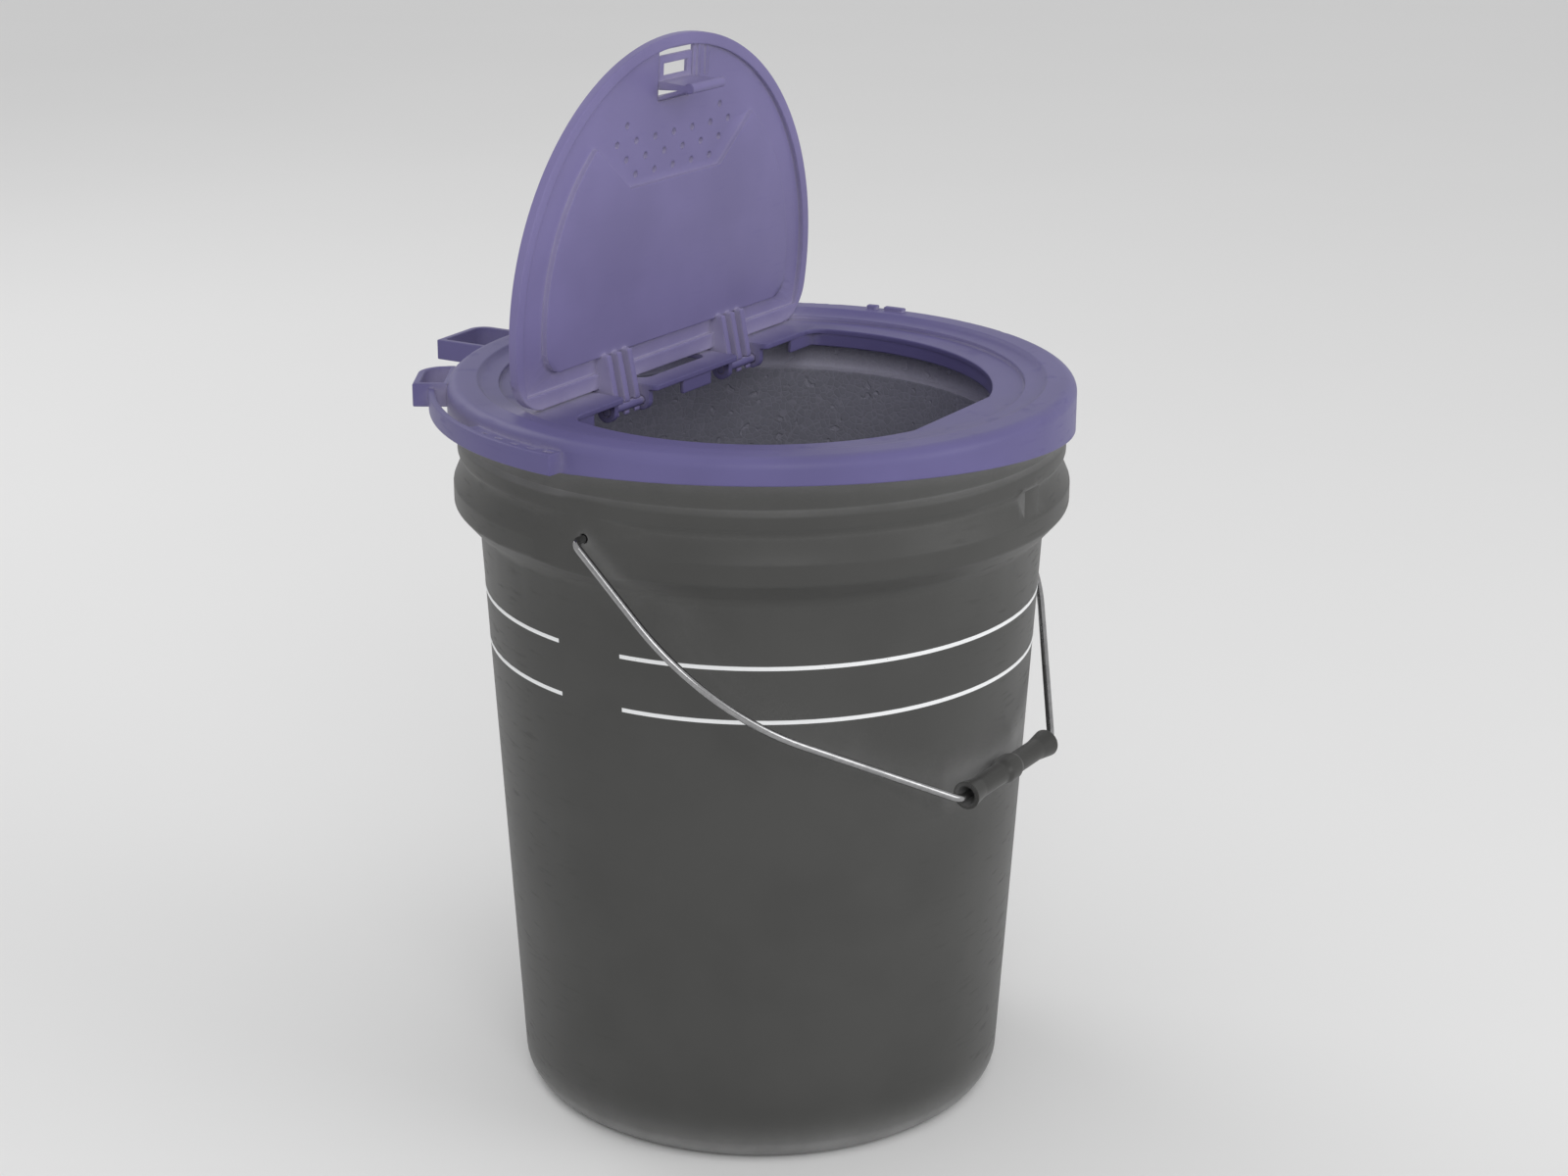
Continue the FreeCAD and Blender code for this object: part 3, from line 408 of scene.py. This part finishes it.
@dataclass(frozen=True)
class DrawnSteel:
    """Bright drawn steel with fine draw lines and faint dull patches."""

    name: str
    colour: Colour
    along: Colour = (1.0, 1.0, 1.0)
    roughness: float = 0.18
    line_scale: float = 500.0
    line_depth: float = 0.00002
    line_dark: float = 0.9
    line_pale: float = 1.08
    patch_scale: float = 45.0
    patch_start: float = 0.45
    patch_full: float = 0.7
    patch_share: float = 0.3
    patch_dark: float = 0.72
    patch_dull: float = 0.14

    def material(self) -> bpy.types.Material:
        """Builds the material.

        Returns:
            The new material.
        """
        graph = Graph(self.name)
        inputs = graph.shader.inputs
        lines = graph.noise(self.line_scale, 3.0, graph.stretch(self.along))
        dark, pale = shade(self.colour, self.line_dark), shade(self.colour, self.line_pale)
        tone = graph.tint(graph.span(lines, *MIDDLE), dark, pale)
        patches = graph.span(graph.noise(self.patch_scale, 4.0), self.patch_start, self.patch_full)
        patched = shade(self.colour, self.patch_dark)
        tone = graph.tint(graph.maths("MULTIPLY", patches, self.patch_share), tone, patched)
        graph.feed(inputs["Base Color"], tone)
        inputs["Metallic"].default_value = 1.0
        dull = graph.maths("MULTIPLY", patches, self.patch_dull)
        graph.feed(inputs["Roughness"], graph.maths("ADD", dull, self.roughness))
        graph.feed(inputs["Normal"], graph.bump(lines, self.line_depth))
        return graph.material


@dataclass(frozen=True)
class PrintedInk:
    """Screen-printed ink with a slightly uneven cover and a few rubbed specks."""

    name: str
    colour: Colour
    under: Colour
    roughness: float = 0.5
    cover_scale: float = 120.0
    cover_dark: float = 0.93
    speck_scale: float = 900.0
    speck_start: float = 0.7
    speck_full: float = 0.76
    film_scale: float = 1500.0
    film_depth: float = 0.00001

    def material(self) -> bpy.types.Material:
        """Builds the material.

        Returns:
            The new material.
        """
        graph = Graph(self.name)
        inputs = graph.shader.inputs
        dark = shade(self.colour, self.cover_dark)
        cover = graph.tint(graph.noise(self.cover_scale, 3.0), dark, self.colour)
        specks = graph.span(graph.noise(self.speck_scale, 4.0), self.speck_start, self.speck_full)
        graph.feed(inputs["Base Color"], graph.tint(specks, cover, self.under))
        inputs["Roughness"].default_value = self.roughness
        graph.feed(inputs["Normal"], graph.bump(graph.noise(self.film_scale, 2.0), self.film_depth))
        return graph.material


CHARCOAL: Colour = (0.063, 0.063, 0.061)
# Pale painted shade for the hollows of the charcoal plastics.
PALE_CHARCOAL_SHADE: Colour = (0.34, 0.34, 0.34)
GRIP_CHARCOAL: Colour = (0.046, 0.046, 0.044)
# The lid and the flap are one violet plastic; the flap's colour below is a lighter copy of it, painted
# light on the flap's front faces, and the lid's is set a little darker against the light on its top.
VIOLET: Colour = (0.122, 0.108, 0.252)
LIT_FLAP_VIOLET: Colour = (0.186, 0.163, 0.335)
# Pale painted shade for the hollows of the violet plastics.
PALE_VIOLET_SHADE: Colour = (0.6, 0.56, 0.7)
FOAM_GREY: Colour = (0.185, 0.185, 0.225)
# The pale of the bead seams and pits, and also pale painted shade in the foam's hollows.
PALE_FOAM: Colour = (0.62, 0.6, 0.74)
STEEL: Colour = (0.34, 0.34, 0.345)
INK_WHITE: Colour = (0.86, 0.87, 0.88)

PAIL_PLASTIC = MouldedPlastic("charcoal_pail", CHARCOAL, PALE_CHARCOAL_SHADE, Wear.HANDLED, hollow_shade_share=0.6,
                              hollow_shade_start=0.1, hollow_shade_full=0.5)
LID_PLASTIC = MouldedPlastic("violet_lid", VIOLET, PALE_VIOLET_SHADE)
FLAP_PLASTIC = MouldedPlastic("violet_flap", LIT_FLAP_VIOLET, PALE_VIOLET_SHADE)
GRIP_PLASTIC = MouldedPlastic("charcoal_grip", GRIP_CHARCOAL, PALE_CHARCOAL_SHADE, Wear.RUBBED, roughness=0.36)
LINER_FOAM = BeadFoam("grey_bead_foam", FOAM_GREY, PALE_FOAM)
WIRE_STEEL = DrawnSteel("bright_wire", STEEL, (0.06, 1.0, 1.0))
STRIPE_INK = PrintedInk("white_stripe_ink", INK_WHITE, CHARCOAL)


def dress(piece: Piece, material: bpy.types.Material) -> None:
    """Gives a piece one material all over.

    Args:
        piece: the piece to dress.
        material: its new material.
    """
    piece.data.materials.clear()
    piece.data.materials.append(material)


def link_piece(name: str, mesh: bpy.types.Mesh) -> Piece:
    """Puts a mesh into the scene.

    Args:
        name: the piece's name.
        mesh: its mesh.

    Returns:
        The new piece.
    """
    piece = bpy.data.objects.new(name, mesh)
    bpy.context.scene.collection.objects.link(piece)
    return piece


def seat(piece: Piece, body: str, slot: str, *nodes: str) -> None:
    """Ties a piece to its body, and hides the solids that it stands for.

    Args:
        piece: the piece.
        body: the body that it moves with.
        slot: not used.
        nodes: the solids that it replaces.
    """
    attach(piece, body)
    if nodes:
        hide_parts(*nodes)
    LOG.info("%s rides on %s", piece.name, body)


def smooth(mesh: bpy.types.Mesh, angle: float = 32.0) -> None:
    """Shades a mesh smooth, apart from edges that turn by more than an angle.

    Args:
        mesh: the mesh.
        angle: the angle in degrees.
    """
    mesh.shade_smooth()
    mesh.set_sharp_from_angle(angle=math.radians(angle))


def has_room(edge: bmesh.types.BMEdge, least: float) -> bool:
    """Says whether the faces beside an edge are wide enough to round it.

    Args:
        edge: the edge.
        least: the least length or width that is enough.

    Returns:
        True where every edge and face that it meets is longer and wider than that.
    """
    lengths = [other.calc_length() for corner in edge.verts for other in corner.link_edges]
    longest = [max(side.calc_length() for side in face.edges) for face in edge.link_faces]
    widths = [2 * face.calc_area() / length for face, length in zip(edge.link_faces, longest)]
    return min(lengths + widths) > least


def softened(node: str, name: str, radius: float, steps: int = 2, least_turn: float = 28.0,
             room: float = 2.0) -> Piece:
    """Makes a piece from a solid of the frame, with its outer edges rounded as a mould leaves them.

    Args:
        node: the solid.
        name: the piece's name.
        radius: the width of the rounding.
        steps: the faces across the rounding.
        least_turn: the angle in degrees from which an edge counts as sharp.
        room: how many times the rounding's width the faces beside an edge need.

    Returns:
        The new piece.
    """
    shape = bmesh.new()
    shape.from_mesh(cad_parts[node].data)
    bmesh.ops.remove_doubles(shape, verts=shape.verts, dist=WELD_GAP)
    flat = math.radians(FLAT_TURN)
    bmesh.ops.dissolve_limit(shape, angle_limit=flat, verts=shape.verts, edges=shape.edges)
    crowded = [face for face in shape.faces if len(face.verts) > 4]
    bmesh.ops.triangulate(shape, faces=crowded, quad_method="BEAUTY", ngon_method="BEAUTY")
    sharp = [edge for edge in shape.edges
             if edge.is_convex and edge.calc_face_angle() > math.radians(least_turn)
             and has_room(edge, room * radius)]
    bmesh.ops.bevel(shape, geom=sharp, offset=radius, offset_type="OFFSET", segments=steps, profile=0.5,
                    affect="EDGES", clamp_overlap=False, miter_outer="ARC", harden_normals=False)
    mesh = bpy.data.meshes.new(name)
    shape.to_mesh(mesh)
    shape.free()
    smooth(mesh)
    piece = link_piece(name, mesh)
    piece.modifiers.new("even_normals", "WEIGHTED_NORMAL").keep_sharp = True
    return piece


@dataclass
class Pail:
    """The tapered pail with two printed stripes that stop beside each ear."""

    base_radius: float = 0.1254
    shoulder_radius: float = 0.1424
    shoulder_height: float = 0.3
    edge: float = 0.0008
    stripe_heights: dict[str, float] = field(default_factory=lambda: {"upper": 0.2695, "lower": 0.242})
    stripe_half: float = 0.001
    stripe_proud: float = 0.00012
    stripe_depth: float = 0.0004
    gap_middle: float = 176.9
    gap_half: float = 7.6
    stripe_steps: int = 120

    def wall_radius(self, height: float) -> float:
        """Gives the radius of the tapered wall at a height."""
        return self.base_radius + (self.shoulder_radius - self.base_radius) * height / self.shoulder_height

    def stripe(self, name: str, height: float, start: float, end: float) -> Piece:
        """Builds one stripe as a thin strip bent round the wall.

        Args:
            name: the piece's name.
            height: the height of its middle.
            start: the angle in degrees where it starts.
            end: the angle in degrees where it ends.

        Returns:
            The new piece.
        """
        shape = bmesh.new()
        section = [(-self.stripe_depth, -self.stripe_half), (self.stripe_proud, -self.stripe_half),
                   (self.stripe_proud, self.stripe_half), (-self.stripe_depth, self.stripe_half)]
        rows = []
        for step in range(self.stripe_steps + 1):
            angle = math.radians(start + (end - start) * step / self.stripe_steps)
            row = []
            for out, up in section:
                radius = self.wall_radius(height + up) + out
                spot = (radius * math.cos(angle), radius * math.sin(angle), height + up)
                row.append(shape.verts.new(spot))
            rows.append(row)
        for here, there in zip(rows, rows[1:]):
            for corner in range(4):
                after = (corner + 1) % 4
                shape.faces.new((here[corner], there[corner], there[after], here[after]))
        shape.faces.new(rows[0])
        shape.faces.new(reversed(rows[-1]))
        bmesh.ops.recalc_face_normals(shape, faces=shape.faces)
        mesh = bpy.data.meshes.new(name)
        shape.to_mesh(mesh)
        shape.free()
        smooth(mesh)
        return link_piece(name, mesh)

    def build(self) -> None:
        """Builds the pail and its stripes, and dresses them."""
        pail = softened("bucket", "pail", self.edge)
        dress(pail, PAIL_PLASTIC.material())
        seat(pail, "pail", "pail", "bucket")
        ink = STRIPE_INK.material()
        start = self.gap_middle + self.gap_half
        end = self.gap_middle + 180 - self.gap_half
        for side, turn in (("front", 0), ("back", 180)):
            for level, height in self.stripe_heights.items():
                stripe = self.stripe(f"stripe_{level}_{side}", height, start + turn, end + turn)
                dress(stripe, ink)
                seat(stripe, "pail", "pail")


@dataclass
class Liner:
    """The foam tub inside the pail."""

    edge: float = 0.0015

    def build(self) -> None:
        """Builds the liner and dresses it."""
        liner = softened("liner", "foam_liner", self.edge)
        dress(liner, LINER_FOAM.material())
        seat(liner, "pail", "foam", "liner")


@dataclass
class LidRing:
    """The lid ring with its hinge pins."""

    edge: float = 0.0006

    def build(self) -> None:
        """Builds the ring, and dresses it and the pins."""
        plastic = LID_PLASTIC.material()
        ring = softened("lid", "lid_ring", self.edge)
        dress(ring, plastic)
        seat(ring, "pail", "lid", "lid")
        for side in ("left", "right"):
            dress(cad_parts[f"hinge_pin_{side}"], plastic)
            LOG.info("hinge pin %s dressed", side)


@dataclass
class Flap:
    """The vented flap with its latch."""

    edge: float = 0.0006
    latch_edge: float = 0.0004

    def build(self) -> None:
        """Builds the flap and the latch, and dresses them."""
        plastic = FLAP_PLASTIC.material()
        flap = softened("flap", "vented_flap", self.edge)
        dress(flap, plastic)
        seat(flap, "flap", "flap", "flap")
        latch = softened("latch", "flap_latch", self.latch_edge)
        dress(latch, plastic)
        seat(latch, "latch", "latch", "latch")


@dataclass
class Bail:
    """The wire bail and the turned grip on it."""

    grip_edge: float = 0.0008

    def build(self) -> None:
        """Dresses the wire, and builds and dresses the grip."""
        dress(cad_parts["bail"], WIRE_STEEL.material())
        LOG.info("bail dressed")
        grip = softened("grip", "turned_grip", self.grip_edge)
        dress(grip, GRIP_PLASTIC.material())
        seat(grip, "grip", "grip", "grip")


@dataclass
class Lamp:
    """One soft area lamp."""

    name: str
    place: tuple[float, float, float]
    size: float
    power: float
    aim: tuple[float, float, float] = (0.0, 0.0, 0.28)

    def build(self) -> None:
        """Adds the lamp."""
        data = bpy.data.lights.new(self.name, "AREA")
        data.shape = "DISK"
        data.size = self.size
        data.energy = self.power
        lamp = bpy.data.objects.new(self.name, data)
        bpy.context.scene.collection.objects.link(lamp)
        lamp.location = self.place
        lamp.rotation_mode = "QUATERNION"
        lamp.rotation_quaternion = (Vector(self.aim) - Vector(self.place)).to_track_quat("-Z", "Y")
        LOG.info("lamp %s lit", self.name)


@dataclass
class Studio:
    """The pale floor, the soft light and the camera."""

    eye: tuple[float, float, float] = (-1.1917, -0.7727, 0.7444)
    aim: tuple[float, float, float] = (0.0061, -0.0096, 0.2617)
    roll: float = 0.23
    focal_length: float = 67.207
    sensor_width: float = 36.0
    floor_radius: float = 40.0
    floor_sides: int = 96
    floor_roughness: float = 0.85
    floor_clouds: float = 3.0
    floor_dark: float = 0.98
    floor_colour: Colour = (0.8, 0.8, 0.8)
    sky_colour: Colour = (0.68, 0.68, 0.68)
    sky_light: float = 0.72
    lamps: tuple[Lamp, ...] = (
        Lamp("key", (-1.6, -1.4, 1.6), 1.4, 14.0),
        Lamp("fill", (0.6, -2.4, 1.0), 1.6, 15.0),
        Lamp("back", (0.4, 2.0, 1.8), 1.4, 10.0),
    )

    def floor(self) -> None:
        """Adds the round floor."""
        shape = bmesh.new()
        bmesh.ops.create_circle(shape, cap_ends=True, segments=self.floor_sides,
                                radius=self.floor_radius)
        mesh = bpy.data.meshes.new("studio_floor")
        shape.to_mesh(mesh)
        shape.free()
        floor = link_piece("studio_floor", mesh)
        graph = Graph("pale_floor")
        dark = shade(self.floor_colour, self.floor_dark)
        tone = graph.tint(graph.noise(self.floor_clouds), dark, self.floor_colour)
        graph.feed(graph.shader.inputs["Base Color"], tone)
        graph.shader.inputs["Roughness"].default_value = self.floor_roughness
        dress(floor, graph.material)

    def sky(self) -> None:
        """Lights the scene from all round, and shows a pale background to the eye and to shiny faces."""
        world = bpy.data.worlds.new("studio_sky")
        world.use_nodes = True
        bpy.context.scene.world = world
        nodes, links = world.node_tree.nodes, world.node_tree.links
        light = nodes["Background"]
        light.inputs["Color"].default_value = (1.0, 1.0, 1.0, 1.0)
        light.inputs["Strength"].default_value = self.sky_light
        seen = nodes.new("ShaderNodeBackground")
        seen.inputs["Color"].default_value = (*self.sky_colour, 1.0)
        path = nodes.new("ShaderNodeLightPath")
        share = path.outputs["Is Camera Ray"]
        for ray in ("Is Glossy Ray", "Is Transmission Ray"):
            most = nodes.new("ShaderNodeMath")
            most.operation = "MAXIMUM"
            links.new(share, most.inputs[0])
            links.new(path.outputs[ray], most.inputs[1])
            share = most.outputs[0]
        mix = nodes.new("ShaderNodeMixShader")
        links.new(share, mix.inputs[0])
        links.new(light.outputs[0], mix.inputs[1])
        links.new(seen.outputs[0], mix.inputs[2])
        links.new(mix.outputs[0], nodes["World Output"].inputs["Surface"])

    def camera(self) -> None:
        """Adds the camera where the photograph was taken from."""
        data = bpy.data.cameras.new("photo_camera")
        data.lens = self.focal_length
        data.sensor_width = self.sensor_width
        camera = bpy.data.objects.new("photo_camera", data)
        bpy.context.scene.collection.objects.link(camera)
        camera.location = self.eye
        camera.rotation_mode = "QUATERNION"
        look = (Vector(self.aim) - Vector(self.eye)).to_track_quat("-Z", "Y")
        camera.rotation_quaternion = look @ Quaternion((0, 0, 1), math.radians(self.roll))
        bpy.context.scene.camera = camera

    def build(self) -> None:
        """Builds the studio."""
        self.floor()
        self.sky()
        for lamp in self.lamps:
            lamp.build()
        self.camera()
        bpy.context.scene.view_settings.view_transform = "Standard"


def main() -> None:
    """Builds every sub-assembly and the studio."""
    logging.basicConfig(level=logging.INFO, format="%(name)s: %(message)s")
    for part in (Pail(), Liner(), LidRing(), Flap(), Bail(), Studio()):
        part.build()
        LOG.info("%s done", type(part).__name__)


if __name__ == "__main__":
    main()
